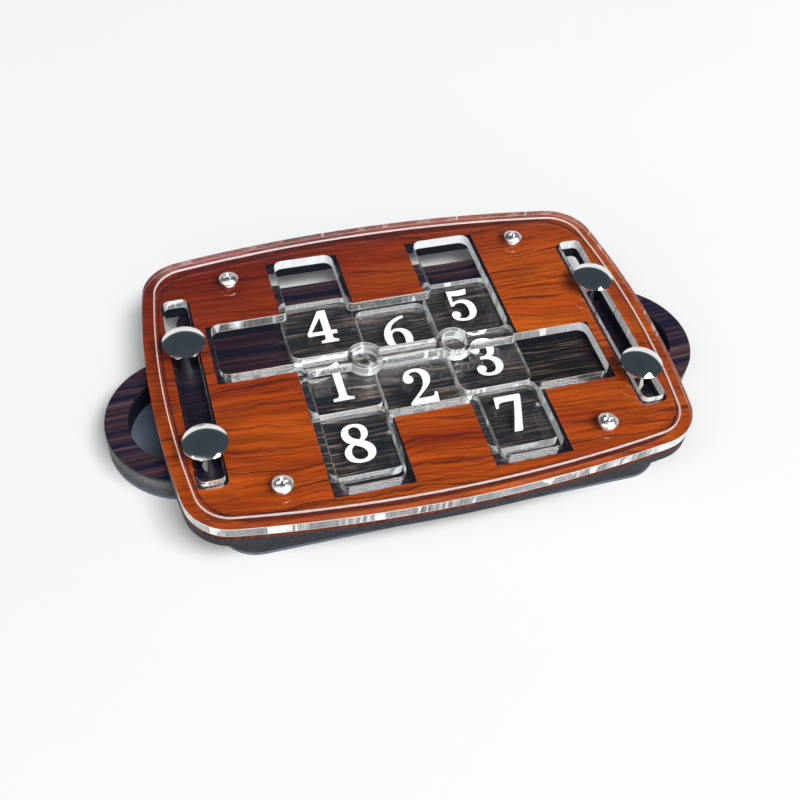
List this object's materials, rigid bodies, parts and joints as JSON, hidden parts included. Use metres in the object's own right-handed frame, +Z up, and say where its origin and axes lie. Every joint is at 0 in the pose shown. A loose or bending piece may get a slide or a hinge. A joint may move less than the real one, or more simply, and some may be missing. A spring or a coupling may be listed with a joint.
{
  "type": "sliding tile puzzle",
  "caption": "Sliding tile puzzle: clear numbered tiles in a stepped wooden tray under a clear cover, on a floor board that slides with domed knobs in side slots.",
  "frame": {"origin": "centre of the tray outline, on the table the slider rests on", "axes": "+X to the right ear, +Y to the rear, the way the slider moves, +Z up through the cover"},
  "size_m": [0.1624, 0.099, 0.019],
  "materials": {
    "clear_acrylic": "polished, laser-cut edges",
    "rosewood": "oiled rosewood, streaked left to right",
    "dark_board": "dark stained board",
    "ebony": "satin striped ebony, stripes left to right",
    "slider_board": "plain grey board",
    "slate_sheet": "matt slate grey",
    "chrome": "polished",
    "screw_steel": "bright zinc"
  },
  "bodies": {
    "board": {"cover_plate": "clear_acrylic", "tray_face": "rosewood", "tray_core": "dark_board", "cover_screw_rear_left": "screw_steel", "cover_screw_front_left": "screw_steel", "cover_screw_rear_right": "screw_steel", "cover_screw_front_right": "screw_steel"},
    "slider": {"slider_face": "ebony", "slider_core": "slider_board", "slider_base": "slate_sheet", "knob_rear_left": "chrome", "knob_front_left": "chrome", "knob_rear_right": "chrome", "knob_front_right": "chrome", "slider_screw_rear_left": "screw_steel", "slider_screw_front_left": "screw_steel", "slider_screw_rear_right": "screw_steel", "slider_screw_front_right": "screw_steel"},
    "tile_1": {"tile_1": "clear_acrylic"},
    "tile_2": {"tile_2": "clear_acrylic"},
    "tile_3": {"tile_3": "clear_acrylic"},
    "tile_4": {"tile_4": "clear_acrylic"},
    "tile_5": {"tile_5": "clear_acrylic"},
    "tile_6": {"tile_6": "clear_acrylic"},
    "tile_7": {"tile_7": "clear_acrylic"},
    "tile_8": {"tile_8": "clear_acrylic"}
  },
  "joints": [
    {"name": "slider_slide", "type": "slide", "parent": "board", "child": "slider", "axis": [0, 1, 0], "range_m": [-0.0071, 0.0149]},
    {"name": "tile_1_slide", "type": "slide", "parent": "board", "child": "tile_1", "axis": [0, 1, 0], "range_m": [0, 0.015]},
    {"name": "tile_2_slide", "type": "slide", "parent": "board", "child": "tile_2", "axis": [0, 1, 0], "range_m": [0, 0.0009]},
    {"name": "tile_3_slide", "type": "slide", "parent": "board", "child": "tile_3", "axis": [0, 1, 0], "range_m": [-0.0063, 0]},
    {"name": "tile_4_slide", "type": "slide", "parent": "board", "child": "tile_4", "axis": [0, 1, 0], "range_m": [0, 0.015]},
    {"name": "tile_5_slide", "type": "slide", "parent": "board", "child": "tile_5", "axis": [0, 1, 0], "range_m": [0, 0.0156]},
    {"name": "tile_6_slide", "type": "slide", "parent": "board", "child": "tile_6", "axis": [0, 1, 0], "range_m": [0, 0.0009]},
    {"name": "tile_7_slide", "type": "slide", "parent": "board", "child": "tile_7", "axis": [0, 1, 0], "range_m": [-0.0063, 0]},
    {"name": "tile_8_slide", "type": "slide", "parent": "board", "child": "tile_8", "axis": [0, 1, 0], "range_m": [-0.0069, 0]}
  ],
  "couplings": [
    {"joint": "tile_1_slide", "follows": "tile_4_slide", "ratio": 1},
    {"joint": "tile_3_slide", "follows": "tile_7_slide", "ratio": 1},
    {"joint": "tile_2_slide", "follows": "tile_6_slide", "ratio": 1}
  ]
}
